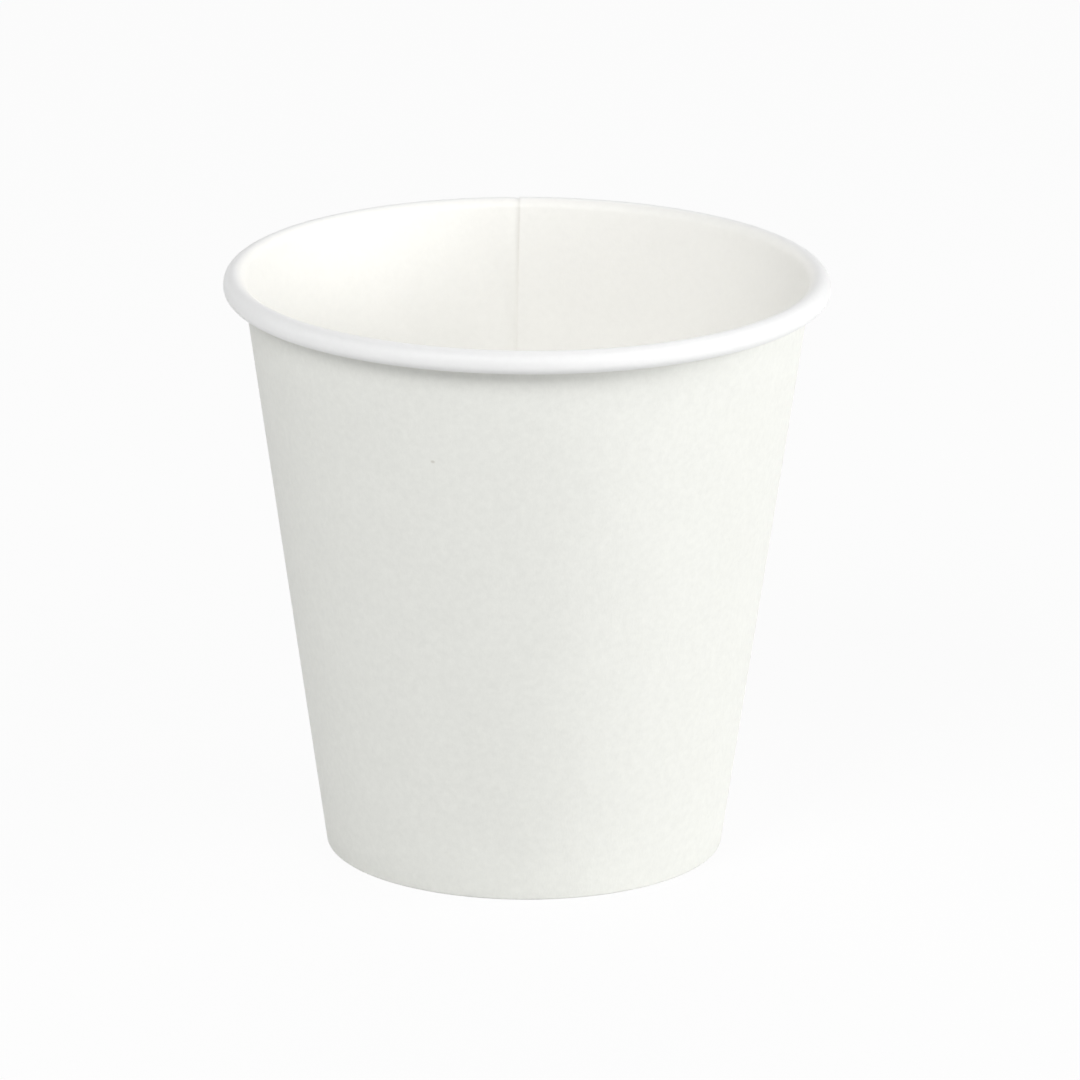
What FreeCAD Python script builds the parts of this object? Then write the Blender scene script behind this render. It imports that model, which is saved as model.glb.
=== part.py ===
import FreeCAD, Part

import math
import os
from enum import IntEnum
from types import SimpleNamespace
from typing import NamedTuple

import Sketcher
from FreeCAD import Placement, Rotation, Vector

# A single-wall paper coffee cup, in millimetres and degrees.
# It is two pieces of board. side_wall is one sheet: bent into a cone and lapped at a side seam,
# rolled outward at the rim, and folded inward at the foot. bottom_disc is a disc with its edge
# turned down into a flange, which that fold clamps.
# +Z is up along the cup's axis, the foot stands on z = 0, and the side seam is at +Y.

# name, value, what it measures
DRIVING_SIZES = (
    ("rim_diameter", 90.0, "outer diameter of the rolled rim"),
    ("cup_height", 88.0, "from the table to the top of the rim"),
    ("foot_diameter", 59.2, "outer diameter of the side wall, carried down to the table"),
    ("wall_board", 0.35, "thickness of the side wall's board"),
    ("bottom_board", 0.30, "thickness of the bottom's board"),
    ("roll_radius", 1.62, "outer radius of the roll's first half turn"),
    ("roll_straight", 0.30, "upright stretch between the roll's two half turns"),
    ("roll_gap", 0.06, "air between the roll and the wall beside it"),
    ("roll_tuck_angle", 110.0, "how far the sheet's end turns on inside the roll"),
    ("foot_corner", 0.30, "radius of the fold's two pressed corners at the table"),
    ("bottom_recess", 6.5, "from the table to the underside of the bottom"),
    ("bottom_bend", 0.50, "inside radius where the bottom turns down into its flange"),
    ("flange_clearance", 0.05, "air on each side of the bottom's flange, inside the fold"),
    ("flange_gap", 0.15, "air under the flange's cut edge, inside the fold"),
    ("tuck_gap", 0.50, "from the bottom's bend down to the cut edge of the folded-in wall"),
    ("seam_azimuth", 91.5, "the seam's inner cut edge, as an angle from +X"),
    ("lap_angle", 11.0, "how far the seam's two plies overlap"),
    ("ramp_angle", 3.0, "how far the outer ply takes to climb onto the inner one"),
)

# Sizes that several sketches share, as expressions on the sheet's values
FOOT_R = "Sheet.foot_diameter / 2"
ROLL_R = "Sheet.rim_diameter / 2 - Sheet.roll_radius"
ROLL_Z = "Sheet.cup_height - Sheet.roll_radius"
ROLL_INSIDE = "Sheet.roll_radius - Sheet.wall_board"
FLANGE_ROOM = "Sheet.bottom_board + 2 * Sheet.flange_clearance"
TUCK_Z = "Sheet.bottom_recess - Sheet.bottom_bend - Sheet.tuck_gap"
SEAM_EDGE = "Sheet.seam_azimuth"
LAP_END = "Sheet.seam_azimuth - Sheet.lap_angle"
RAMP_START = "Sheet.seam_azimuth + Sheet.ramp_angle"


class Spot(IntEnum):
    """A position on an edge of a sketch, as the sketch's constraints number it."""

    START = 1
    END = 2
    CENTRE = 3


class Axis(IntEnum):
    """One of a sketch's own axes, as the sketch's constraints number it."""

    X = -1
    Y = -2


# A sketch's origin is numbered as the start of its x axis.
ORIGIN = (Axis.X, Spot.START)


class Length(NamedTuple):
    """A length as it is drawn, and the expression that sets it."""

    drawn: float
    by: str


def make_sheet(document):
    """Writes the driving sizes into a spreadsheet, with the name of each as its alias."""
    sheet = document.addObject("Spreadsheet::Sheet", "Sheet")
    for row, (name, value, meaning) in enumerate(DRIVING_SIZES, start=1):
        sheet.set(f"A{row}", name)
        sheet.set(f"B{row}", str(value))
        sheet.set(f"C{row}", meaning)
        sheet.setAlias(f"B{row}", name)
    document.recompute()
    return sheet


def read_sizes(sheet):
    """The sheet's values as plain numbers, and the few lengths worked out from them."""
    size = SimpleNamespace(**{name: float(sheet.get(name)) for name, _, _ in DRIVING_SIZES})
    size.rim_r = size.rim_diameter / 2
    size.foot_r = size.foot_diameter / 2
    size.roll_inside = size.roll_radius - size.wall_board
    size.roll_r = size.rim_r - size.roll_radius
    size.roll_z = size.cup_height - size.roll_radius
    # The wall's outer face runs from the foot to touch the roll's inside: its lean from upright
    reach = size.roll_r - size.foot_r
    slant = math.hypot(reach, size.roll_z)
    size.lean = math.acos(size.roll_inside / slant) - math.atan2(size.roll_z, reach)
    size.outward = Vector(math.cos(size.lean), -math.sin(size.lean))
    return size


def on_wall(size, z, offset):
    """The point at height z that lies this far outside the wall's outer face."""
    return Vector(size.foot_r + z * math.tan(size.lean) + offset / math.cos(size.lean), z)


def on_circle(centre, radius, degrees):
    """A point on a circle of the sketch, by its angle from the sketch's x axis."""
    turn = math.radians(degrees)
    return centre + Vector(radius * math.cos(turn), radius * math.sin(turn))


class Outline:
    """A closed outline, drawn edge by edge: each edge starts where the last one ended."""

    def __init__(self, sketch, start):
        self.sketch = sketch
        self.point = start
        self.edges = {}
        self.smooth = {}

    def _keep(self, name, shape, first, last, smooth, end):
        self.edges[name] = (self.sketch.addGeometry(shape), first, last)
        self.smooth[name] = smooth
        self.point = end

    def line(self, name, end, smooth=False):
        """A straight edge to this point, smooth where it leaves the edge before it or not."""
        self._keep(name, Part.LineSegment(self.point, end), Spot.START, Spot.END, smooth, end)

    def arc(self, name, centre, end, clockwise=False, smooth=True):
        """An arc about this centre to this point, smooth with the edge before it or not."""
        circle = Part.Circle(centre, Vector(0, 0, 1), centre.distanceToPoint(end))
        here = circle.parameter(self.point)
        there = circle.parameter(end)
        if clockwise:
            self._keep(name, Part.ArcOfCircle(circle, there, here), Spot.END, Spot.START, smooth, end)
        else:
            self._keep(name, Part.ArcOfCircle(circle, here, there), Spot.START, Spot.END, smooth, end)

    def close(self):
        """Joins each edge to the one before it, and the first one to the last."""
        names = list(self.edges)
        for before, name in zip([names[-1]] + names, names):
            kind = "Tangent" if self.smooth[name] else "Coincident"
            edge, first, _ = self.edges[name]
            edge_before, _, last = self.edges[before]
            fix(self.sketch, kind, edge_before, last, edge, first)

    def edge(self, name):
        """The number of a named edge in its sketch."""
        return self.edges[name][0]

    def first(self, name):
        """The edge's number and the position on it where the outline enters it."""
        return self.edges[name][:2]

    def last(self, name):
        """The edge's number and the position on it where the outline leaves it."""
        return self.edges[name][0], self.edges[name][2]


def fix(sketch, kind, *parts):
    """A constraint without a size, such as Tangent or Parallel."""
    sketch.addConstraint(Sketcher.Constraint(kind, *parts))


def drawn_size(sketch, kind, parts):
    """The size that a constraint of this kind has in the drawing as it stands."""
    if kind == "Radius":
        return sketch.Geometry[parts[0]].Radius
    if kind == "Angle":
        along = sketch.getPoint(parts[0], Spot.END) - sketch.getPoint(parts[0], Spot.START)
        return math.atan2(along.y, along.x)
    if len(parts) == 1:
        return sketch.Geometry[parts[0]].length()
    point = sketch.getPoint(*parts[:2])
    if kind == "Distance":
        near = sketch.getPoint(parts[2], Spot.START)
        along = sketch.getPoint(parts[2], Spot.END) - near
        return abs(along.cross(point - near).z) / along.Length
    across = sketch.getPoint(*parts[2:]) - point
    return across.x if kind == "DistanceX" else across.y


def measure(sketch, kind, *parts, by):
    """A constraint whose size is an expression on the sheet's values."""
    size = drawn_size(sketch, kind, parts)
    number = sketch.addConstraint(Sketcher.Constraint(kind, *parts, size))
    sketch.setExpression(f"Constraints[{number}]", by)


def new_sketch(body, name, azimuth=None):
    """A sketch on a plane through the cup's axis: its x is the radius and its y the height."""
    sketch = body.newObject("Sketcher::SketchObject", name)
    plane = next(part for part in body.Origin.OriginFeatures if part.Role == "XZ_Plane")
    sketch.AttachmentSupport = (plane, [""])
    sketch.MapMode = "FlatFace"
    if azimuth:
        sketch.AttachmentOffset = Placement(Vector(), Rotation(Vector(0, 1, 0), 90))
        sketch.setExpression("AttachmentOffset.Rotation.Angle", azimuth)
    return sketch


def draw_wall_line(sketch, size):
    """Draws the wall's outer face as a guide: up from the foot, touching the roll's inside."""
    centre = Vector(size.roll_r, size.roll_z)
    touch = on_circle(centre, size.roll_inside, 180 - math.degrees(size.lean))
    circle = sketch.addGeometry(Part.Circle(centre, Vector(0, 0, 1), size.roll_inside), True)
    guide = sketch.addGeometry(Part.LineSegment(Vector(size.foot_r, 0), touch), True)
    measure(sketch, "Radius", circle, by=ROLL_INSIDE)
    measure(sketch, "DistanceX", *ORIGIN, circle, Spot.CENTRE, by=ROLL_R)
    measure(sketch, "DistanceY", *ORIGIN, circle, Spot.CENTRE, by=ROLL_Z)
    fix(sketch, "PointOnObject", guide, Spot.START, Axis.X)
    measure(sketch, "DistanceX", *ORIGIN, guide, Spot.START, by=FOOT_R)
    fix(sketch, "Tangent", guide, Spot.END, circle)
    return guide


def draw_sheet_outline(sketch, size):
    """The sheet's section: up inside the foot, round its fold, up the wall and round the roll."""
    board = size.wall_board
    corner = size.foot_corner
    wall_touch = 180 - math.degrees(size.lean)
    tuck_z = size.bottom_recess - size.bottom_bend - size.tuck_gap
    wall_in = -board
    tuck_out = wall_in - size.bottom_board - 2 * size.flange_clearance
    tuck_in = tuck_out - board
    tuck_top = on_wall(size, tuck_z, tuck_in)
    inner_corner = on_wall(size, corner, tuck_in + corner)
    outer_corner = on_wall(size, corner, -corner)

    # The roll's arcs have their centres on two levels, an upright stretch apart.
    drop = Vector(0, size.roll_straight)
    first = Vector(size.roll_r, size.roll_z)
    level = size.roll_z - size.roll_straight
    innermost = on_wall(size, level, size.roll_gap).x
    second_radius = (size.rim_r - innermost) / 2
    second = Vector(size.rim_r - second_radius, level)
    third_radius = second_radius - board
    third = Vector(innermost + third_radius, level)
    end_angle = 180 - size.roll_tuck_angle

    outline = Outline(sketch, tuck_top)
    outline.line("tuck_face", inner_corner - size.outward * corner)
    outline.arc("inner_corner", inner_corner, Vector(inner_corner.x, 0))
    outline.line("foot_flat", Vector(outer_corner.x, 0), smooth=True)
    outline.arc("outer_corner", outer_corner, outer_corner + size.outward * corner)
    outline.line("wall_outside", on_circle(first, size.roll_inside, wall_touch), smooth=True)
    outline.arc("first_inside", first, on_circle(first, size.roll_inside, 0), clockwise=True)
    outline.line("straight_inside", outline.point - drop, smooth=True)
    outline.arc("second_inside", second, on_circle(second, third_radius, 180), clockwise=True)
    end_inside = on_circle(third, third_radius - board, end_angle)
    outline.arc("third_inside", third, end_inside, clockwise=True)
    outline.line("roll_end", on_circle(third, third_radius, end_angle))
    outline.arc("third_outside", third, on_circle(third, third_radius, 180), smooth=False)
    outline.arc("second_outside", second, on_circle(second, second_radius, 0))
    outline.line("straight_outside", outline.point + drop, smooth=True)
    outline.arc("first_outside", first, on_circle(first, size.roll_radius, wall_touch))
    outline.line("wall_inside", on_wall(size, board, wall_in), smooth=True)
    outline.line("fold_floor", on_wall(size, board, tuck_out))
    outline.line("tuck_back", tuck_top + size.outward * board)
    outline.line("tuck_end", tuck_top)
    outline.close()
    return outline


def fix_wall_and_fold(sketch, size, outline):
    """Sizes the wall, which runs to the foot's radius at the table, and the fold at its foot."""
    edge = outline.edge
    foot = sketch.addGeometry(Part.Point(Vector(size.foot_r, 0)), True)
    fix(sketch, "PointOnObject", foot, Spot.START, Axis.X)
    fix(sketch, "PointOnObject", foot, Spot.START, edge("wall_outside"))
    measure(sketch, "DistanceX", *ORIGIN, foot, Spot.START, by=FOOT_R)
    for name in ("wall_inside", "tuck_face", "tuck_back"):
        fix(sketch, "Parallel", edge("wall_outside"), edge(name))

    fix(sketch, "Horizontal", edge("foot_flat"))
    fix(sketch, "PointOnObject", *outline.first("foot_flat"), Axis.X)
    for name in ("inner_corner", "outer_corner"):
        measure(sketch, "Radius", edge(name), by="Sheet.foot_corner")

    # The fold holds the bottom's flange, with its clearance on each side.
    fix(sketch, "Horizontal", edge("fold_floor"))
    measure(sketch, "DistanceY", *ORIGIN, *outline.first("fold_floor"), by="Sheet.wall_board")
    flange_room = (*outline.last("fold_floor"), edge("wall_inside"))
    measure(sketch, "Distance", *flange_room, by=FLANGE_ROOM)
    fix(sketch, "Perpendicular", edge("tuck_end"), edge("tuck_face"))
    tuck_board = (*outline.last("tuck_end"), edge("tuck_back"))
    measure(sketch, "Distance", *tuck_board, by="Sheet.wall_board")
    measure(sketch, "DistanceY", *ORIGIN, *outline.last("tuck_end"), by=TUCK_Z)


def fix_roll(sketch, outline):
    """Sizes the roll: its first turn by its radius, the second by the air left beside the wall."""
    edge = outline.edge
    for turn in ("first", "second", "third"):
        inside = edge(f"{turn}_inside")
        outside = edge(f"{turn}_outside")
        fix(sketch, "Coincident", inside, Spot.CENTRE, outside, Spot.CENTRE)
    measure(sketch, "Radius", edge("first_outside"), by="Sheet.roll_radius")
    measure(sketch, "Radius", edge("first_inside"), by=ROLL_INSIDE)
    measure(sketch, "DistanceY", *ORIGIN, edge("first_outside"), Spot.CENTRE, by=ROLL_Z)
    outermost = outline.first("straight_outside")
    measure(sketch, "DistanceX", *ORIGIN, *outermost, by="Sheet.rim_diameter / 2")
    fix(sketch, "Vertical", edge("straight_inside"))
    fix(sketch, "Vertical", edge("straight_outside"))
    measure(sketch, "Distance", edge("straight_outside"), by="Sheet.roll_straight")

    innermost = outline.first("second_outside")
    fix(sketch, "Horizontal", *innermost, edge("second_outside"), Spot.CENTRE)
    measure(sketch, "Distance", *innermost, edge("wall_outside"), by="Sheet.roll_gap")
    fix(sketch, "Equal", edge("second_inside"), edge("third_outside"))
    fix(sketch, "PointOnObject", edge("third_inside"), Spot.CENTRE, edge("roll_end"))
    measure(sketch, "Angle", edge("roll_end"), by="180 - Sheet.roll_tuck_angle")


def seam_strip(body, name, size, azimuth, offsets, heights):
    """A sketch of a strip along the wall at this azimuth, for the solids of the side seam.

    It lies between two offsets from the wall's outer face, the inner one first, and between
    two heights. An offset without an expression lies on the face itself."""
    sketch = new_sketch(body, name, azimuth)
    guide = draw_wall_line(sketch, size)
    near, far = offsets
    low, high = heights
    outline = Outline(sketch, on_wall(size, low.drawn, near.drawn))
    outline.line("low_end", on_wall(size, low.drawn, far.drawn))
    outline.line("far_side", on_wall(size, high.drawn, far.drawn))
    outline.line("high_end", on_wall(size, high.drawn, near.drawn))
    outline.line("near_side", on_wall(size, low.drawn, near.drawn))
    outline.close()
    for side, offset in (("near_side", near), ("far_side", far)):
        fix(sketch, "Parallel", guide, outline.edge(side))
        if offset.by:
            measure(sketch, "Distance", *outline.first(side), guide, by=offset.by)
        else:
            fix(sketch, "PointOnObject", *outline.first(side), guide)
    for end, height in (("low_end", low), ("high_end", high)):
        fix(sketch, "Horizontal", outline.edge(end))
        measure(sketch, "DistanceY", *ORIGIN, *outline.first(end), by=height.by)
    return sketch


def turn_about_axis(body, name, sketch):
    """A solid turned from a sketch about the cup's axis, all the way round unless it is bound."""
    turned = body.newObject("PartDesign::Revolution", name)
    turned.Profile = sketch
    turned.ReferenceAxis = (sketch, ["V_Axis"])
    turned.Angle = 360
    return turned


def loft_along_seam(body, kind, name, sections):
    """A ruled solid between two strips of the seam, added to the body or cut from it."""
    loft = body.newObject(kind, name)
    loft.Profile, loft.Sections = sections
    loft.Ruled = True


def make_side_wall(document, size):
    """The sheet: a turned section, then the seam's outer ply, its ramp and the inner cut edge."""
    body = document.addObject("PartDesign::Body", "side_wall")
    section = new_sketch(body, "sheet_section")
    outline = draw_sheet_outline(section, size)
    fix_wall_and_fold(section, size, outline)
    fix_roll(section, outline)
    turn_about_axis(body, "rolled_sheet", section)

    # Offsets from the wall's outer face. What is added is sunk half a board into the wall, and
    # what is cut reaches a board beyond it into the air.
    board = size.wall_board
    face = Length(0, "")
    sunk = Length(-board / 2, "Sheet.wall_board / 2")
    proud = Length(board, "Sheet.wall_board")
    inner_face = Length(-board, "Sheet.wall_board")
    air = Length(-2 * board, "2 * Sheet.wall_board")

    # The outer ply runs from the fold's corner up into the roll, which hides its end.
    corner_z = Length(size.foot_corner, "Sheet.foot_corner")
    roll_z = Length(size.roll_z - size.roll_straight, f"{ROLL_Z} - Sheet.roll_straight")
    ply = (corner_z, roll_z)
    lap_section = seam_strip(body, "lap_section", size, LAP_END, (sunk, proud), ply)
    lap = turn_about_axis(body, "outer_ply", lap_section)
    lap.setExpression("Angle", "Sheet.lap_angle")
    ramp_top = seam_strip(body, "ramp_top", size, SEAM_EDGE, (sunk, proud), ply)
    ramp_foot = seam_strip(body, "ramp_foot", size, RAMP_START, (sunk, face), ply)
    loft_along_seam(body, "PartDesign::AdditiveLoft", "outer_ramp", (ramp_top, ramp_foot))

    # Inside, above the bottom, the ramp leaves the inner ply's cut edge standing free.
    bottom_top = size.bottom_recess + size.bottom_board
    above_bottom = Length(bottom_top, "Sheet.bottom_recess + Sheet.bottom_board")
    open_wall = (above_bottom, roll_z)
    deep = seam_strip(body, "groove_deep", size, SEAM_EDGE, (air, face), open_wall)
    shallow = seam_strip(body, "groove_shallow", size, RAMP_START, (air, inner_face), open_wall)
    loft_along_seam(body, "PartDesign::SubtractiveLoft", "inner_edge", (deep, shallow))
    return body


def draw_disc_section(sketch, size):
    """Half of the bottom's section: the flat disc, its bend, and the flange down along the wall."""
    guide = draw_wall_line(sketch, size)
    under = size.bottom_recess
    top = under + size.bottom_board
    bend = size.bottom_bend
    flange_out = -size.wall_board - size.flange_clearance
    flange_in = flange_out - size.bottom_board
    flange_low = size.wall_board + size.flange_gap
    centre = on_wall(size, under - bend, flange_in - bend)

    outline = Outline(sketch, Vector(0, under))
    outline.line("underside", Vector(centre.x, under))
    outline.arc("bend_inside", centre, centre + size.outward * bend, clockwise=True)
    outline.line("flange_inside", on_wall(size, flange_low, flange_in), smooth=True)
    outline.line("flange_end", on_wall(size, flange_low, flange_out))
    outline.line("flange_outside", centre + size.outward * (bend + size.bottom_board))
    outline.arc("bend_outside", centre, Vector(centre.x, top))
    outline.line("topside", Vector(0, top), smooth=True)
    outline.line("middle", Vector(0, under))
    outline.close()

    edge = outline.edge
    fix(sketch, "Vertical", edge("middle"))
    fix(sketch, "PointOnObject", *outline.first("underside"), Axis.Y)
    for name in ("underside", "topside", "flange_end"):
        fix(sketch, "Horizontal", edge(name))
    measure(sketch, "DistanceY", *ORIGIN, *outline.first("underside"), by="Sheet.bottom_recess")
    measure(sketch, "Distance", edge("middle"), by="Sheet.bottom_board")
    fix(sketch, "Coincident", edge("bend_inside"), Spot.CENTRE, edge("bend_outside"), Spot.CENTRE)
    measure(sketch, "Radius", edge("bend_inside"), by="Sheet.bottom_bend")
    fix(sketch, "Parallel", guide, edge("flange_outside"))
    fix(sketch, "Parallel", guide, edge("flange_inside"))
    flange_offset = "Sheet.wall_board + Sheet.flange_clearance"
    measure(sketch, "Distance", *outline.first("flange_outside"), guide, by=flange_offset)
    flange_z = "Sheet.wall_board + Sheet.flange_gap"
    measure(sketch, "DistanceY", *ORIGIN, *outline.first("flange_end"), by=flange_z)


def make_bottom_disc(document, size):
    """The bottom: a disc of board, pressed so that its edge turns down."""
    body = document.addObject("PartDesign::Body", "bottom_disc")
    section = new_sketch(body, "disc_section")
    draw_disc_section(section, size)
    turn_about_axis(body, "pressed_disc", section)
    return body


def check_and_write(document, bodies):
    """Writes one file for each piece, once nothing in the document has failed."""
    for item in document.Objects:
        if "Invalid" in item.State or "Error" in item.State:
            raise RuntimeError(f"{item.Name} failed: {item.State}")
        if item.TypeId == "Sketcher::SketchObject" and not item.FullyConstrained:
            raise RuntimeError(f"{item.Name} isn't fully constrained")
    for body in bodies:
        if body.Shape.isNull() or not body.Shape.isValid():
            raise RuntimeError(f"{body.Label} has no valid shape")
    os.makedirs("parts", exist_ok=True)
    for body in bodies:
        body.Shape.exportStep(f"parts/{body.Label}.step")
        print(f"{body.Label}: {len(body.Shape.Solids)} solid, {body.Shape.Volume:.1f} cubic mm")


document = FreeCAD.newDocument("paper_coffee_cup")
sizes = read_sizes(make_sheet(document))
pieces = [make_side_wall(document, sizes), make_bottom_disc(document, sizes)]
document.recompute()
check_and_write(document, pieces)
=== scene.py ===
import math

import bmesh
import bpy
import numpy as np
from bpy.props import FloatProperty, FloatVectorProperty, PointerProperty
from mathutils import Matrix, Vector


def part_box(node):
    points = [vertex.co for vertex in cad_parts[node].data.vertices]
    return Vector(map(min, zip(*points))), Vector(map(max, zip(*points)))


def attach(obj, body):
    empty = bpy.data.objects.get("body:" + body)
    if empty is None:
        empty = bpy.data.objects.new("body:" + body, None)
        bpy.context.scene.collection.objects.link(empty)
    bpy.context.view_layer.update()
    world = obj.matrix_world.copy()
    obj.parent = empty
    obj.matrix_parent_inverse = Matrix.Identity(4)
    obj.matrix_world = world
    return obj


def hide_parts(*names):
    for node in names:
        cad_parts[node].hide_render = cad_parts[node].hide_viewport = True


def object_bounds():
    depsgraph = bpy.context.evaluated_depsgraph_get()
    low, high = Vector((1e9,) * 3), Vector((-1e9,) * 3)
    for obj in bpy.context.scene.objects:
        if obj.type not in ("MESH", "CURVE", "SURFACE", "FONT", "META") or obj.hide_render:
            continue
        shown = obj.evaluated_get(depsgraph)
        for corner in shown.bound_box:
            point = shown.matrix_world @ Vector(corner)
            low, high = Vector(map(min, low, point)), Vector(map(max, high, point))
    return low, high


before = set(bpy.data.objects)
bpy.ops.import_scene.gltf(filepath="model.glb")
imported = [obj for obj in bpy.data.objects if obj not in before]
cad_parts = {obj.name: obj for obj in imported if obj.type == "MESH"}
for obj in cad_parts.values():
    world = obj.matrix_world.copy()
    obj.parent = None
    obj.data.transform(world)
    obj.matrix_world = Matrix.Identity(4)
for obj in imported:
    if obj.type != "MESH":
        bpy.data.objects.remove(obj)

bl_info = {
    "name": "Paper coffee cup",
    "version": (1, 0, 0),
    "blender": (4, 5, 0),
    "location": "3D View > Sidebar > Paper Cup",
    "description": "Builds a single-wall paper cup around its solids, with its paper and its stage",
    "category": "Object",
}

# The solids' box, before anything is added
CAD_LOW, CAD_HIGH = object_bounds()

# The photograph that the camera matches is this many pixels wide and high.
PHOTO_PIXELS = 1080
SENSOR_WIDTH = 36.0

# Steps along the wall's section: down its tuck, round each corner of the fold, up the cone, and
# round the roll's first, second and third turns
TUCK_STEPS = 5
CORNER_STEPS = 6
CONE_STEPS = 30
ROLL_STEPS = (28, 20, 10)
# Steps along the wall's sheet: over each lap, over each pair of ramps, and round the rest
LAP_STEPS = 10
RAMP_STEPS = 16
ROUND_STEPS = 330
# Steps of the bottom: round it, out from its middle, round its bend and down its flange
BOTTOM_ROUND_STEPS = 360
BOTTOM_OUT_STEPS = 24
BOTTOM_EDGE_STEPS = 8
FLOOR_STEPS = 96

# Heights above the table over which the lap goes from the foot's press to the wall's, and depths
# below the rim's top over which it goes on to the roll's
FOOT_PRESS_HEIGHTS = (0.001, 0.004)
ROLL_PRESS_DEPTHS = (0.005, 0.0015)
# The wall's stray from a true cone: the crests round the cup, share, phase and turn up the wall
# of each of its waves
WAVES = ((2, 0.55, 0.6, 0.0), (3, 0.3, -1.1, 0.8), (5, 0.15, 2.0, -1.7))
# Edges that turn more than this stay sharp in the shading.
SHARP_TURN = math.radians(35)

# Crests a metre: formation clouds of about a centimetre, flocs of about a millimetre, and fibres,
# which are longer up the cup than across it
CLOUD_CRESTS = 90.0
FLOC_CRESTS = 950.0
FIBRE_CRESTS = 4200.0
FIBRE_STRETCH = (1.0, 1.0, 0.35)
# How much the clouds, the flocs and the fibres stand out in the bump
CLOUD_BUMP, FLOC_BUMP, FIBRE_BUMP = 0.6, 0.5, 0.35
# Painted shade on the rim's roll: how far outside the cone its darker, greyer colour starts to come
# in, and how far out it is full
ROLL_SHADE_REACH = (-0.0002, 0.0012)
# Painted shade beside the seam's step: where the darkening is strongest, past the seam's edge.
# Round there it doesn't reach beyond the first distance, and is full within the second.
SEAM_SHADE_MIDDLE = 0.0002
SEAM_SHADE_REACH = (0.0006, 0.0001)
# The fleck: how much wider than high, how ragged, and its outer and inner edge, in half widths
FLECK_FLATNESS = 1.7
FLECK_RAGGEDNESS = 0.9
FLECK_EDGE = (1.3, 0.4)

# What sees the floor and the world as white: the camera, a gloss and a clear thing
SEEN_RAYS = ("Is Camera Ray", "Is Glossy Ray", "Is Transmission Ray")
# The lights face this point in the middle of the cup.
LIT_POINT = Vector((0.0, 0.0, 0.05))


def length(name, description, default, **limits):
    """A length that a user can change, in metres."""
    limits.setdefault("min", 0.0)
    return FloatProperty(
        name=name, description=description, default=default, unit="LENGTH", precision=5, **limits
    )


def angle(name, description, degrees):
    """An angle that a user can change."""
    return FloatProperty(
        name=name,
        description=description,
        default=math.radians(degrees),
        subtype="ANGLE",
        unit="ROTATION",
        precision=3,
    )


def share(name, description, default, high=1.0):
    """A plain number from nought up."""
    return FloatProperty(name=name, description=description, default=default, min=0.0, max=high)


def power(name, description, watts):
    """A light's power."""
    return FloatProperty(name=name, description=description, default=watts, min=0.0, unit="POWER")


def colour(name, description, default):
    """A colour, as linear red, green and blue."""
    return FloatVectorProperty(
        name=name, description=description, default=default, subtype="COLOR", min=0.0, max=1.0
    )


class CupSizes(bpy.types.PropertyGroup):
    """The cup's sizes, as its two boards are cut, bent and pressed."""

    rim_diameter: length("Rim diameter", "Across the rolled rim", 2 * CAD_HIGH.x)
    height: length("Height", "From the table to the top of the rim", CAD_HIGH.z)
    foot_diameter: length("Foot diameter", "Across the wall's outer face, at the table", 0.0592)
    wall_board: length("Wall board", "Thickness of the side wall's board", 0.00035)
    roll_radius: length("Roll radius", "Outer radius of the rim's first half turn", 0.00162)
    roll_straight: length("Roll straight", "Upright stretch between the half turns", 0.0003)
    roll_gap: length("Roll gap", "Air between the roll and the wall beside it", 0.00006)
    roll_tuck: angle("Roll tuck", "How far the sheet's end turns on inside the roll", 110)
    seam_tuck: share("Seam tuck", "Share of the roll's tuck that is left in the seam", 0.06)
    fold_radius: length("Fold radius", "Of the foot's two corners, at the board's middle", 0.00021)
    tuck_height: length("Tuck height", "Top of the folded-in wall, inside the foot", 0.0055)
    bottom_board: length("Bottom board", "Thickness of the bottom's board", 0.0003)
    bottom_top: length(
        "Bottom height", "Top of the bottom, above the table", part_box("bottom_disc")[1].z
    )
    bottom_bend: length("Bottom bend", "Inside radius where the bottom turns down", 0.0005)
    bottom_sag: length("Bottom sag", "How far the bottom's middle hangs down", 0.00016)
    bottom_saddle: length("Bottom saddle", "Height of the bottom's low saddle", 0.00008)
    flange_clearance: length("Flange clearance", "Air on each side of the flange", 0.00005)
    flange_low: length("Flange edge", "Height of the flange's cut edge", 0.00075)
    seam: angle("Seam", "The seam's inner cut edge, as an angle from +X", 91.5)
    seam_skew: angle("Seam skew", "How far round the seam leans, from the rim to the table", 2.7)
    lap: angle("Lap", "How far the seam's two plies overlap", 11)
    ramp: angle("Ramp", "How far a ply takes to climb past the other one's edge", 3)
    foot_press: share("Foot press", "What pressing leaves of a lapped ply, in the foot", 0.5)
    wall_press: share("Wall press", "What pressing leaves of a lapped ply, on the wall", 0.6)
    roll_press: share("Roll press", "What pressing leaves of a lapped ply, in the roll", 0.35)
    glue: length("Glue", "Thickness of the glue between the seam's plies", 0.00001)
    waver: length("Waver", "How far the wall strays from a true cone", 0.00012)


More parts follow.
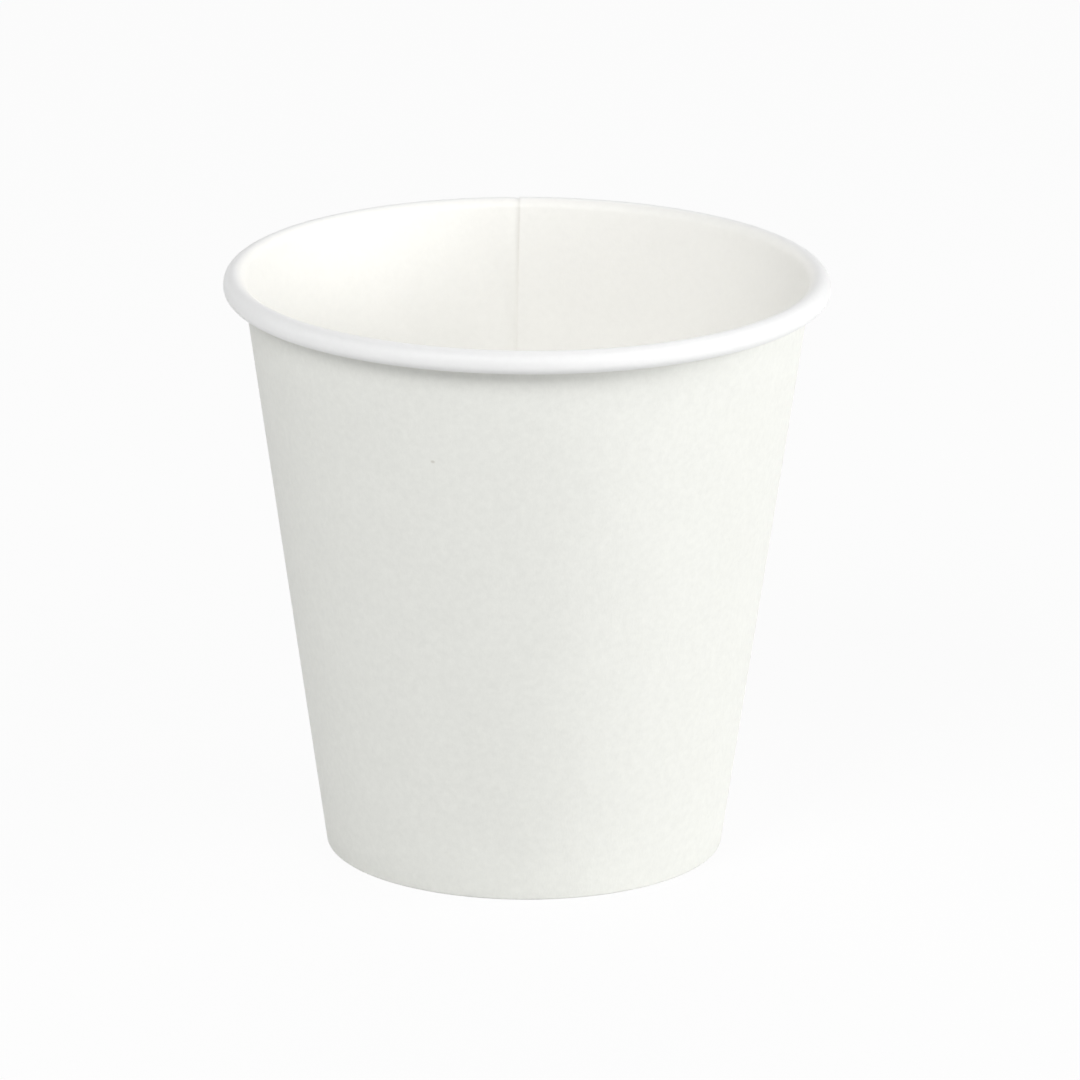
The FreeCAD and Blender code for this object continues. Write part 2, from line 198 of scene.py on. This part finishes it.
class PaperLook(bpy.types.PropertyGroup):
    """The board's colours and its small marks."""

    outside: colour("Outside", "The board's outer face", (0.80, 0.806, 0.768))
    inside: colour("Inside", "The board's inner face, under its clear film", (0.95, 0.944, 0.912))
    # Painted shade: the rim's roll takes this darker, greyer colour in place of the inner face's,
    # standing in for the shade that falls on it.
    rolled: colour("Rim roll painted shade", "The inner face, painted darker round the roll as shade", (0.85, 0.852, 0.85))
    cut_edge: colour("Cut edge", "The board's pulp, where it was cut", (0.80, 0.775, 0.71))
    speck_colour: colour("Speck", "One small fleck in the outer face", (0.64, 0.63, 0.58))
    speck_turn: angle("Speck turn", "The fleck's direction, as an angle from +X", -109.95)
    speck_height: length("Speck height", "The fleck's height above the table", 0.0696)
    speck_width: length("Speck width", "Half the fleck's width", 0.0004)
    cloud_tone: share("Clouds", "How much light and dark the largest mottling has", 0.035)
    floc_tone: share("Flocs", "How much light and dark the middle mottling has", 0.11)
    fibre_tone: share("Fibres", "How much light and dark the fibres have", 0.05)
    film_calm: share("Film calm", "Share of the mottling that the film hides", 0.6)
    # Painted shade: how much the inner face is darkened beside the seam's step, standing in for the
    # step's shadow.
    seam_shade_tone: share("Seam painted shade", "How much darker the film is along the seam", 0.018)
    outer_rough: share("Outer roughness", "Roughness of the outer face", 0.62)
    film_rough: share("Film roughness", "Roughness of the inner face's film", 0.5)
    cut_rough: share("Cut roughness", "Roughness of a cut edge", 0.82)
    bump_share: share("Bump", "How strongly the paper's unevenness shows", 0.35)
    bump_height: length("Bump height", "From the paper's hollows to its crests", 0.00012)


class StageLook(bpy.types.PropertyGroup):
    """The floor, the light and the camera."""

    floor_colour: colour("Floor", "The pale floor", (0.76, 0.76, 0.76))
    floor_radius: length("Floor radius", "Of the round floor", 6.0)
    floor_white: share("Floor white", "Share of plain white where the floor is seen", 0.93)
    world_light: share("World light", "Brightness of the even light all round", 0.04, high=10.0)
    key_power: power("Key light", "Watts of the soft light in front, to the left", 7.8)
    front_power: power("Front light", "Watts of the soft light in front, to the right", 3.1)
    low_power: power("Low light", "Watts of the low soft light in front, further right", 3.4)
    side_power: power("Side light", "Watts of the low soft light at the right", 6.7)
    left_power: power("Left light", "Watts of the low soft light at the left", 2.1)
    back_power: power("Back light", "Watts of the soft light behind", 3.0)
    box_width: length("Light width", "Across each of the soft lights", 0.6)
    box_distance: length("Light distance", "From the cup to each of the soft lights", 1.2)
    camera_distance: length("Camera distance", "From the cup's axis, along the floor", 1.35)
    camera_height: length("Camera height", "Above the table", 0.45592)
    camera_focal: FloatProperty(
        name="Focal length", description="In pixels of the photograph", default=9459.7, min=1.0
    )
    camera_yaw: angle("Camera yaw", "Turn to the right", 0.0917)
    camera_pitch: angle("Camera pitch", "Turn down", 16.868)
    camera_roll: angle("Camera roll", "Turn about the line of sight", 0.309)


def smooth_step(value, start, stop):
    """0 before start and 1 after stop, with a level slope at both: 3 t squared less 2 t cubed."""
    t = np.clip((value - start) / (stop - start), 0.0, 1.0)
    return t * t * (3 - 2 * t)


def right_of(heading):
    """The unit vector to the right of a heading in the section's plane: (sin, -cos) of it."""
    return np.stack([np.sin(heading), -np.cos(heading)], axis=-1)


class Midline:
    """The line in the middle of a sheet's thickness, in a plane through the cup's axis.

    Each row of its arrays is one position round the cup, and each column a step along the
    line. It is bends, which are arcs, joined by straights. A point has a place (radius, height)
    and a heading, and the sheet's outer face lies to the right of that heading."""

    def __init__(self, rows):
        self.rows = rows
        self.places = []
        self.headings = []

    def _keep(self, places, headings):
        count = headings.shape[-1]
        self.places.append(np.broadcast_to(places, (self.rows, count, 2)))
        self.headings.append(np.broadcast_to(headings, (self.rows, count)))

    def point(self, place, heading):
        """A single place: the line's first or last one."""
        place = np.broadcast_to(np.asarray(place, float), (self.rows, 2))
        heading = np.broadcast_to(np.asarray(heading, float), (self.rows,))
        self._keep(place[:, None, :], heading[:, None])

    def bend(self, centre, radius, start, stop, steps, joined=False):
        """An arc: its centre, plus or minus its radius times the right of the heading.

        The heading goes evenly from start to stop, and the sign is plus where it turns left.
        An arc that is joined goes on from the last point, which isn't made twice."""
        start, stop = (np.asarray(value, float).reshape(-1, 1) for value in (start, stop))
        heading = start + (stop - start) * np.linspace(0, 1, steps + 1)[None, int(joined):]
        centre = np.broadcast_to(np.asarray(centre, float), (self.rows, 2))
        side = np.sign(stop - start)[..., None]
        self._keep(centre[:, None, :] + side * radius * right_of(heading), heading)

    def straight(self, place, heading, steps):
        """Even steps from the last point towards this one, which is left to what follows."""
        last = self.places[-1][:, -1:, :]
        place = np.broadcast_to(np.asarray(place, float), (self.rows, 2))[:, None, :]
        t = (np.arange(1, steps) / steps)[None, :, None]
        self._keep(last + (place - last) * t, np.full((self.rows, steps - 1), heading))

    def face(self, offset):
        """The points this far to the right of the line: place plus offset times the right."""
        places = np.concatenate(self.places, axis=1)
        headings = np.concatenate(self.headings, axis=1)
        return places + offset[..., None] * right_of(headings)

    def heights(self):
        """The height of each of the line's points."""
        return np.concatenate(self.places, axis=1)[..., 1]


class Wall:
    """The side wall's cone and roll, worked out from the sizes.

    The cone's outer face goes up from the foot's edge and touches the circle inside the roll's
    first turn. It leans out from upright by the arc cosine of that circle's radius over the
    distance from the foot's edge to its centre, less the slope of the line between them."""

    def __init__(self, size):
        self.rim_r = size.rim_diameter / 2
        self.foot_r = size.foot_diameter / 2
        self.board = size.wall_board
        self.roll_inside = size.roll_radius - self.board
        self.roll_centre = np.array([self.rim_r - size.roll_radius, size.height - size.roll_radius])
        reach = self.roll_centre[0] - self.foot_r
        rise = self.roll_centre[1]
        slant = math.hypot(reach, rise)
        self.lean = math.acos(self.roll_inside / slant) - math.atan2(rise, reach)
        self.up = math.pi / 2 - self.lean

    def place(self, height, offset):
        """The place at this height that lies this far outside the cone's outer face."""
        height = np.asarray(height, float)
        radius = self.foot_r + height * math.tan(self.lean) + offset / math.cos(self.lean)
        return np.stack([radius, height], axis=-1)


def wall_midline(size, wall, lifted, roll_tuck):
    """The side wall's midline: down inside the foot, round its fold, up the wall, round the roll.

    lifted is how far the fold is raised off the table, and roll_tuck how far the sheet's end
    turns on inside the roll, at each position round the cup."""
    half = wall.board / 2
    tuck_offset = -wall.board * 1.5 - size.bottom_board - 2 * size.flange_clearance
    fold = size.fold_radius
    fold_z = half + lifted + fold
    down = wall.up - math.pi
    line = Midline(len(lifted))
    line.point(wall.place(size.tuck_height + lifted, tuck_offset), down)
    inner = wall.place(fold_z, tuck_offset + fold)
    outer = wall.place(fold_z, -half - fold)
    line.straight(inner + fold * right_of(down), down, TUCK_STEPS)
    line.bend(inner, fold, down, 0.0, CORNER_STEPS)
    line.bend(outer, fold, 0.0, wall.up, CORNER_STEPS)

    first_r = wall.roll_inside + half
    line.straight(wall.roll_centre - first_r * right_of(wall.up), wall.up, CONE_STEPS)
    line.bend(wall.roll_centre, first_r, wall.up, -math.pi / 2, ROLL_STEPS[0])

    # The roll's later turns have their centres an upright stretch lower.
    level = wall.roll_centre[1] - size.roll_straight
    innermost = wall.place(level, size.roll_gap)[0]
    second_r = (wall.rim_r - innermost) / 2
    third_r = second_r - wall.board
    second = (wall.rim_r - second_r, level)
    third = (innermost + third_r, level)
    inside_roll = -1.5 * math.pi
    line.bend(second, second_r - half, -math.pi / 2, inside_roll, ROLL_STEPS[1])
    tucked = inside_roll - roll_tuck
    line.bend(third, third_r - half, inside_roll, tucked, ROLL_STEPS[2], joined=True)
    return line


def seam_positions(size):
    """Angles along the sheet from its inner cut edge, closer together where the seam ramps."""
    turn = 2 * math.pi
    ramps = 2 * size.ramp
    stops = [0.0, size.lap, size.lap + ramps, turn - ramps, turn, turn + size.lap]
    steps = [LAP_STEPS, RAMP_STEPS, ROUND_STEPS, RAMP_STEPS, LAP_STEPS]
    runs = [np.linspace(a, b, n, endpoint=False) for a, b, n in zip(stops, stops[1:], steps)]
    return np.concatenate(runs + [np.array(stops[-1:])])


def stray(size, azimuth, height):
    """How far the wall strays outward from a true cone: a few waves round the cup.

    The sum of share times cos(crests times azimuth, plus phase, plus turn times rise), less 1,
    so that the cup keeps inside its box, times the waver and the rise, the share of the height."""
    rise = height / size.height
    waves = sum(
        part * np.cos(crests * azimuth + phase + turn * rise) for crests, part, phase, turn in WAVES
    )
    return size.waver * (waves - 1.0) * rise


def around(section, azimuth):
    """Turns (radius, height) points about the cup's axis: (r cos a, r sin a, z)."""
    radius, height = section[..., 0], section[..., 1]
    return np.stack([radius * np.cos(azimuth), radius * np.sin(azimuth), height], axis=-1)


def quads(first, second):
    """Faces between two rows or grids of vertex numbers: each step of one with its twin."""
    corners = [first[..., :-1], first[..., 1:], second[..., 1:], second[..., :-1]]
    return np.stack(corners, axis=-1).reshape(-1, 4)


def sheet_mesh(name, outer, inner, closed=False):
    """A mesh of a sheet from two grids of points, its outer and its inner face.

    Rows go clockwise round the cup, seen from above, and columns along the section. The cut
    edges are strips of faces between the two grids. A closed sheet's last row meets its first."""
    rows, columns = outer.shape[:2]
    numbers = np.arange(2 * rows * columns).reshape(2, rows, columns)
    if closed:
        numbers = np.concatenate([numbers, numbers[:, :1]], axis=1)
    out, into = numbers
    faces = [quads(out[:-1], out[1:]), quads(into[1:], into[:-1])]
    edges = [quads(out[:, 0], into[:, 0]), quads(into[:, -1], out[:, -1])]
    if not closed:
        edges += [quads(into[0], out[0]), quads(out[-1], into[-1])]
    film = np.repeat([0.0, 1.0], [len(faces[0]), len(faces[1])])
    polygons = np.concatenate(faces + edges)
    cut = np.ones(len(polygons))
    cut[: len(film)] = 0.0
    film = np.concatenate([film, np.zeros(len(polygons) - len(film))])

    mesh = bpy.data.meshes.new(name)
    points = np.concatenate([outer.reshape(-1, 3), inner.reshape(-1, 3)])
    mesh.from_pydata(points, [], polygons)
    for attribute, values in (("film", film), ("cut", cut)):
        layer = mesh.attributes.new(attribute, "FLOAT", "FACE")
        layer.data.foreach_set("value", values.astype(np.float32))
    mesh.shade_smooth()
    mesh.set_sharp_from_angle(angle=SHARP_TURN)
    return mesh


def weld(mesh, distance=1e-7):
    """Joins the vertices that lie on each other, as at the middle of a disc."""
    work = bmesh.new()
    work.from_mesh(mesh)
    bmesh.ops.remove_doubles(work, verts=work.verts, dist=distance)
    work.to_mesh(mesh)
    work.free()


def add_piece(mesh, material, node):
    """Puts a finished mesh in the scene in place of a solid, riding where the solid rides."""
    piece = bpy.data.objects.new(mesh.name, mesh)
    bpy.context.scene.collection.objects.link(piece)
    mesh.materials.append(material)
    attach(piece, "root")
    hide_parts(node)
    return piece


class Value:
    """A number that a material works out at each point. Arithmetic on it adds Math nodes."""

    def __init__(self, nodes, socket):
        self.nodes = nodes
        self.socket = socket

    def math(self, operation, *values):
        """A Math node on these values, of which this is often one."""
        return self.nodes.add("ShaderNodeMath", {"operation": operation}, dict(enumerate(values)))

    def __add__(self, other):
        return self.math("ADD", self, other)

    def __sub__(self, other):
        return self.math("SUBTRACT", self, other)

    def __rsub__(self, other):
        return self.math("SUBTRACT", other, self)

    def __mul__(self, other):
        return self.math("MULTIPLY", self, other)

    __radd__ = __add__
    __rmul__ = __mul__


class Nodes:
    """The nodes of one material or of the world."""

    def __init__(self, owner):
        owner.use_nodes = True
        self.tree = owner.node_tree
        self.tree.nodes.clear()

    def add(self, kind, settings=None, inputs=None, output=0):
        """Adds a node of this type: its settings first, then its sockets' values or links."""
        node = self.tree.nodes.new(kind)
        for name, value in (settings or {}).items():
            setattr(node, name, value)
        for name, value in (inputs or {}).items():
            if isinstance(value, Value):
                self.tree.links.new(value.socket, node.inputs[name])
            else:
                node.inputs[name].default_value = value
        return Value(self, node.outputs[output]) if node.outputs else None

    def noise(self, where, scale, detail):
        """Noise about nought: its scale is in crests a metre."""
        values = {"Vector": where, "Scale": scale, "Detail": detail, "Roughness": 0.55}
        return self.add("ShaderNodeTexNoise", {}, values) - 0.5

    def vector(self, operation, first, second=(0.0, 0.0, 0.0), output=0):
        """A Vector Math node."""
        return self.add(
            "ShaderNodeVectorMath", {"operation": operation}, {0: first, 1: second}, output
        )

    def blend(self, amount, first, second, kind="MIX"):
        """A mix of two colours: the first where the amount is 0, the second where it is 1."""
        settings = {"data_type": "RGBA", "blend_type": kind}
        return self.add("ShaderNodeMix", settings, {0: amount, 6: first, 7: second}, output=2)

    def map_range(self, value, start, stop, kind="SMOOTHSTEP"):
        """0 where the value is at start or before, and 1 where it is at stop or after."""
        inputs = {"Value": value, "From Min": start, "From Max": stop}
        return self.add("ShaderNodeMapRange", {"interpolation_type": kind}, inputs)


def rgba(values):
    """A colour's four channels."""
    return (*values, 1.0)


def painted_shade_masks(nodes, where, size):
    """Masks for painted shade: on the rim's roll, beyond the cone, and in a band past the seam's
    edge.

    Both are shares: the first by how far a point lies outside the cone's outer face, the second
    by how far round the cup it is past the inner ply's edge."""
    wall = Wall(size)
    x, y, z = (nodes.add("ShaderNodeSeparateXYZ", {}, {0: where}, output=axis) for axis in range(3))
    radius = nodes.vector("LENGTH", nodes.vector("MULTIPLY", where, (1.0, 1.0, 0.0)), output=1)
    beyond = radius - z * math.tan(wall.lean) - wall.foot_r
    skew = (1.0 - z * (1 / size.height)) * size.seam_skew
    past_seam = (y.math("ARCTAN2", y, x) - size.seam - skew) * radius
    off_middle = past_seam.math("ABSOLUTE", past_seam - SEAM_SHADE_MIDDLE)
    return nodes.map_range(beyond, *ROLL_SHADE_REACH), nodes.map_range(off_middle, *SEAM_SHADE_REACH)


def fleck(nodes, where, flocs, size, look):
    """Where the wall's one fleck is: its distance in half widths, made ragged by the flocs."""
    radius = float(Wall(size).place(look.speck_height, 0.0)[0])
    turn = look.speck_turn
    middle = (radius * math.cos(turn), radius * math.sin(turn), look.speck_height)
    across = 1 / look.speck_width
    halves = (across, across, FLECK_FLATNESS * across)
    away = nodes.vector("MULTIPLY", nodes.vector("SUBTRACT", where, middle), halves)
    distance = nodes.vector("LENGTH", away, output=1) + flocs * FLECK_RAGGEDNESS
    return nodes.map_range(distance, *FLECK_EDGE)


def paper_material(name, look, size=None):
    """Bleached board: cloudy mottling, fine fibres, a film on one face and bare pulp where cut.

    With the cup's sizes it is the wall's board, which also has painted shade, a darker, greyer
    roll at the rim and a dark band along the seam's step, and one fleck in its outer face."""
    material = bpy.data.materials.new(name)
    nodes = Nodes(material)
    where = nodes.add("ShaderNodeTexCoord", output=3)
    film = nodes.add("ShaderNodeAttribute", {"attribute_name": "film"}, output=2)
    cut = nodes.add("ShaderNodeAttribute", {"attribute_name": "cut"}, output=2)

    clouds = nodes.noise(where, CLOUD_CRESTS, detail=2.0)
    flocs = nodes.noise(where, FLOC_CRESTS, detail=3.0)
    fibres = nodes.noise(nodes.vector("MULTIPLY", where, FIBRE_STRETCH), FIBRE_CRESTS, detail=2.0)

    inside = rgba(look.inside)
    mottling = clouds * look.cloud_tone + flocs * look.floc_tone + fibres * look.fibre_tone
    tone = 1.0 + mottling * (1.0 - look.film_calm * film)
    if size:
        rolled, seam_shade = painted_shade_masks(nodes, where, size)
        # Painted shade: the rim's roll gets a darker, greyer colour than the rest of the inner
        # face.
        inside = nodes.blend(rolled, inside, rgba(look.rolled))
        # Painted shade: the inner face is darkened in a narrow band beside the seam's step.
        tone = tone - seam_shade * film * look.seam_shade_tone
    base = nodes.blend(film, rgba(look.outside), inside)
    base = nodes.blend(cut, base, rgba(look.cut_edge))
    grey = nodes.add("ShaderNodeCombineColor", {}, {0: tone, 1: tone, 2: tone})
    base = nodes.blend(1.0, base, grey, kind="MULTIPLY")
    if size:
        speck = fleck(nodes, where, flocs, size, look)
        base = nodes.blend(speck, base, rgba(look.speck_colour))

    relief = {
        "Strength": look.bump_share,
        "Distance": look.bump_height,
        "Height": flocs * FLOC_BUMP + fibres * FIBRE_BUMP + clouds * CLOUD_BUMP,
    }
    film_change = look.film_rough - look.outer_rough
    cut_change = look.cut_rough - look.outer_rough
    shader = nodes.add(
        "ShaderNodeBsdfPrincipled",
        {},
        {
            "Base Color": base,
            "Roughness": look.outer_rough + film * film_change + cut * cut_change,
            "IOR": 1.45,
            "Specular IOR Level": 0.3,
            "Normal": nodes.add("ShaderNodeBump", {}, relief),
        },
    )
    nodes.add("ShaderNodeOutputMaterial", {}, {"Surface": shader})
    return material


class CUP_OT_side_wall(bpy.types.Operator):
    """Makes the side wall: one sheet, lapped at its seam, rolled at the rim, folded at the foot"""

    bl_idname = "paper_cup.side_wall"
    bl_label = "Make Side Wall"

    def execute(self, context):
        size = context.scene.cup_sizes
        look = context.scene.cup_paper
        wall = Wall(size)
        along = seam_positions(size)
        turn = 2 * math.pi
        azimuth = size.seam - along

        # climbed is 1 where the sheet lies outside its own inner ply, lapped is 1 where it has two
        # plies, and in_seam is 1 there and some way past, where the roll's tuck is cut short.
        climbed = smooth_step(along, turn - size.ramp, turn)
        lapped = np.maximum(1 - smooth_step(along, size.lap, size.lap + size.ramp), climbed)
        in_seam = np.maximum(
            1 - smooth_step(along, size.lap + size.ramp, size.lap + 2 * size.ramp),
            smooth_step(along, turn - 2 * size.ramp, turn - size.ramp),
        )
        lifted = ((2 * size.foot_press - 1) * wall.board + size.glue) * lapped
        tuck = size.roll_tuck * (1 - (1 - size.seam_tuck) * in_seam)
        line = wall_midline(size, wall, lifted, tuck)

        # A lapped ply keeps its press's share of the board, so the ply outside it climbs as far.
        height = line.heights()
        on_wall = smooth_step(height, *FOOT_PRESS_HEIGHTS)
        on_roll = smooth_step(height, *(size.height - depth for depth in ROLL_PRESS_DEPTHS))
        press = size.foot_press + (size.wall_press - size.foot_press) * on_wall
        press += (size.roll_press - size.wall_press) * on_roll
        inner = (press * wall.board + size.glue) * climbed[:, None] - wall.board / 2
        outer = inner + wall.board * (1 - (1 - press) * lapped[:, None])
        faces = []
        for offset in (outer, inner):
            face = line.face(offset)
            turned = azimuth[:, None] + size.seam_skew * (1 - face[..., 1] / size.height)
            face[..., 0] += stray(size, turned, face[..., 1])
            faces.append(around(face, turned))
        mesh = sheet_mesh("rolled_wall", *faces)

        material = paper_material("wall_paper", look, size)
        add_piece(mesh, material, "side_wall")
        return {"FINISHED"}


class CUP_OT_bottom(bpy.types.Operator):
    """Makes the bottom: a disc of board whose edge is pressed down into a flange"""

    bl_idname = "paper_cup.bottom"
    bl_label = "Make Bottom"

    def execute(self, context):
        size = context.scene.cup_sizes
        look = context.scene.cup_paper
        wall = Wall(size)
        half = size.bottom_board / 2
        middle = size.bottom_top - half
        bend = size.bottom_bend + half
        flange = -wall.board - size.flange_clearance - half
        azimuth = -np.arange(BOTTOM_ROUND_STEPS) * (2 * math.pi / BOTTOM_ROUND_STEPS)
        down = wall.up - math.pi

        line = Midline(len(azimuth))
        centre = wall.place(middle - bend, flange - bend)
        line.point((0.0, middle), 0.0)
        line.straight((centre[0], middle), 0.0, BOTTOM_OUT_STEPS)
        line.bend(centre, bend, 0.0, down, BOTTOM_EDGE_STEPS)
        line.straight(wall.place(size.flange_low, flange), down, BOTTOM_EDGE_STEPS)
        line.point(wall.place(size.flange_low, flange), down)

        faces = []
        for offset in (half, -half):
            face = line.face(np.full(line.heights().shape, offset))
            face[..., 1] += bottom_rise(size, face[..., 0] / centre[0], azimuth[:, None])
            faces.append(around(face, azimuth[:, None]))
        mesh = sheet_mesh("pressed_bottom", *faces, closed=True)
        weld(mesh)
        add_piece(mesh, paper_material("bottom_paper", look), "bottom_disc")
        return {"FINISHED"}


def bottom_rise(size, out, azimuth):
    """How far the bottom lies above flat, by the share of its radius and the azimuth.

    A shallow dish, minus the sag times (1 - out squared), and a low saddle that vanishes at the
    middle and the edge, times out squared (1 - out squared) cos(2 azimuth + 0.5)."""
    out = np.clip(out, 0.0, 1.0)
    dish = -size.bottom_sag * (1 - out**2)
    saddle = size.bottom_saddle * out**2 * (1 - out**2) * np.cos(2 * azimuth + 0.5)
    return dish + saddle


class CUP_OT_stage(bpy.types.Operator):
    """Sets up the floor, the soft light and the camera"""

    bl_idname = "paper_cup.stage"
    bl_label = "Set Up Stage"

    def execute(self, context):
        look = context.scene.cup_stage
        add_floor(look)
        light_world(look)
        add_lamps(look)
        add_camera(look)
        context.scene.view_settings.view_transform = "Standard"
        return {"FINISHED"}


def seen_directly(nodes):
    """1 for a ray from the camera, off a gloss or through a clear thing, and 0 for others."""
    paths = [nodes.add("ShaderNodeLightPath", output=name) for name in SEEN_RAYS]
    return paths[0].math("MAXIMUM", paths[0].math("MAXIMUM", *paths[:2]), paths[2])


def add_floor(look):
    """A round, pale floor: a plain colour to the light, and nearly white where it is seen.

    Its ring of points is the radius times (cos, sin) of even turns."""
    turns = np.arange(FLOOR_STEPS) * (2 * math.pi / FLOOR_STEPS)
    ring = look.floor_radius * np.stack([np.cos(turns), np.sin(turns), 0 * turns], axis=-1)
    mesh = bpy.data.meshes.new("floor")
    mesh.from_pydata(ring, [], [np.arange(FLOOR_STEPS)])
    material = bpy.data.materials.new("pale_floor")
    nodes = Nodes(material)
    plain = nodes.add(
        "ShaderNodeBsdfPrincipled", {}, {"Base Color": rgba(look.floor_colour), "Roughness": 0.9}
    )
    pale = nodes.add("ShaderNodeEmission", {}, {"Color": (1.0, 1.0, 1.0, 1.0), "Strength": 1.0})
    shader = nodes.add(
        "ShaderNodeMixShader", {}, {0: seen_directly(nodes) * look.floor_white, 1: plain, 2: pale}
    )
    nodes.add("ShaderNodeOutputMaterial", {}, {"Surface": shader})
    mesh.materials.append(material)
    floor = bpy.data.objects.new("floor", mesh)
    bpy.context.scene.collection.objects.link(floor)


def light_world(look):
    """An even light all round, which is white where it is seen."""
    world = bpy.data.worlds.new("studio")
    bpy.context.scene.world = world
    nodes = Nodes(world)
    seen = seen_directly(nodes)
    strength = seen + (1.0 - seen) * look.world_light
    white = {"Color": (1.0, 1.0, 1.0, 1.0), "Strength": strength}
    background = nodes.add("ShaderNodeBackground", {}, white)
    nodes.add("ShaderNodeOutputWorld", {}, {"Surface": background})


def add_lamps(look):
    """Round soft boxes that face the cup, low at the sides and higher in front and behind.

    Each is given by its azimuth from the camera's side, to the right, and its elevation."""
    boxes = (
        ("key_light", look.key_power, -30, 40),
        ("front_light", look.front_power, 30, 40),
        ("low_light", look.low_power, 60, 15),
        ("side_light", look.side_power, 90, 15),
        ("left_light", look.left_power, -90, 15),
        ("back_light", look.back_power, 180, 45),
    )
    for name, watts, side, rise in boxes:
        turn, lift = math.radians(side), math.radians(rise)
        toward = Vector(
            (math.sin(turn) * math.cos(lift), -math.cos(turn) * math.cos(lift), math.sin(lift))
        )
        lamp = bpy.data.lights.new(name, "AREA")
        lamp.shape = "DISK"
        lamp.size = look.box_width
        lamp.energy = watts
        box = bpy.data.objects.new(name, lamp)
        box.location = LIT_POINT + toward * look.box_distance
        box.rotation_euler = (-toward).to_track_quat("-Z", "Y").to_euler()
        box.visible_camera = False
        bpy.context.scene.collection.objects.link(box)


def add_camera(look):
    """The camera of the photograph, turned by its yaw, then down by its pitch, then its roll."""
    camera = bpy.data.cameras.new("camera")
    camera.sensor_width = SENSOR_WIDTH
    camera.lens = look.camera_focal / PHOTO_PIXELS * SENSOR_WIDTH
    camera.clip_start = 0.01
    camera.clip_end = 100.0
    held = bpy.data.objects.new("camera", camera)
    turns = (
        Matrix.Rotation(-look.camera_yaw, 3, "Z"),
        Matrix.Rotation(math.pi / 2 - look.camera_pitch, 3, "X"),
        Matrix.Rotation(look.camera_roll, 3, "Z"),
    )
    held.rotation_euler = (turns[0] @ turns[1] @ turns[2]).to_euler()
    held.location = (0.0, -look.camera_distance, look.camera_height)
    bpy.context.scene.collection.objects.link(held)
    bpy.context.scene.camera = held


OPERATORS = (CUP_OT_side_wall, CUP_OT_bottom, CUP_OT_stage)
SETTINGS = {"cup_sizes": CupSizes, "cup_paper": PaperLook, "cup_stage": StageLook}


class CUP_PT_sidebar(bpy.types.Panel):
    """Lists the cup's operators in the order in which they run"""

    bl_idname = "CUP_PT_sidebar"
    bl_label = "Paper Cup"
    bl_space_type = "VIEW_3D"
    bl_region_type = "UI"
    bl_category = "Paper Cup"

    def draw(self, context):
        for operator in OPERATORS:
            self.layout.operator(operator.bl_idname)
        for name, group in SETTINGS.items():
            box = self.layout.box()
            for setting in group.__annotations__:
                box.prop(getattr(context.scene, name), setting)


def register():
    for group in (*SETTINGS.values(), *OPERATORS, CUP_PT_sidebar):
        bpy.utils.register_class(group)
    for name, group in SETTINGS.items():
        setattr(bpy.types.Scene, name, PointerProperty(type=group))


def unregister():
    for name in SETTINGS:
        delattr(bpy.types.Scene, name)
    for group in (CUP_PT_sidebar, *reversed(OPERATORS), *reversed(SETTINGS.values())):
        bpy.utils.unregister_class(group)


def main():
    """Registers the cup's classes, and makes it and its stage."""
    register()
    bpy.ops.paper_cup.side_wall()
    bpy.ops.paper_cup.bottom()
    bpy.ops.paper_cup.stage()


if __name__ == "__main__":
    main()
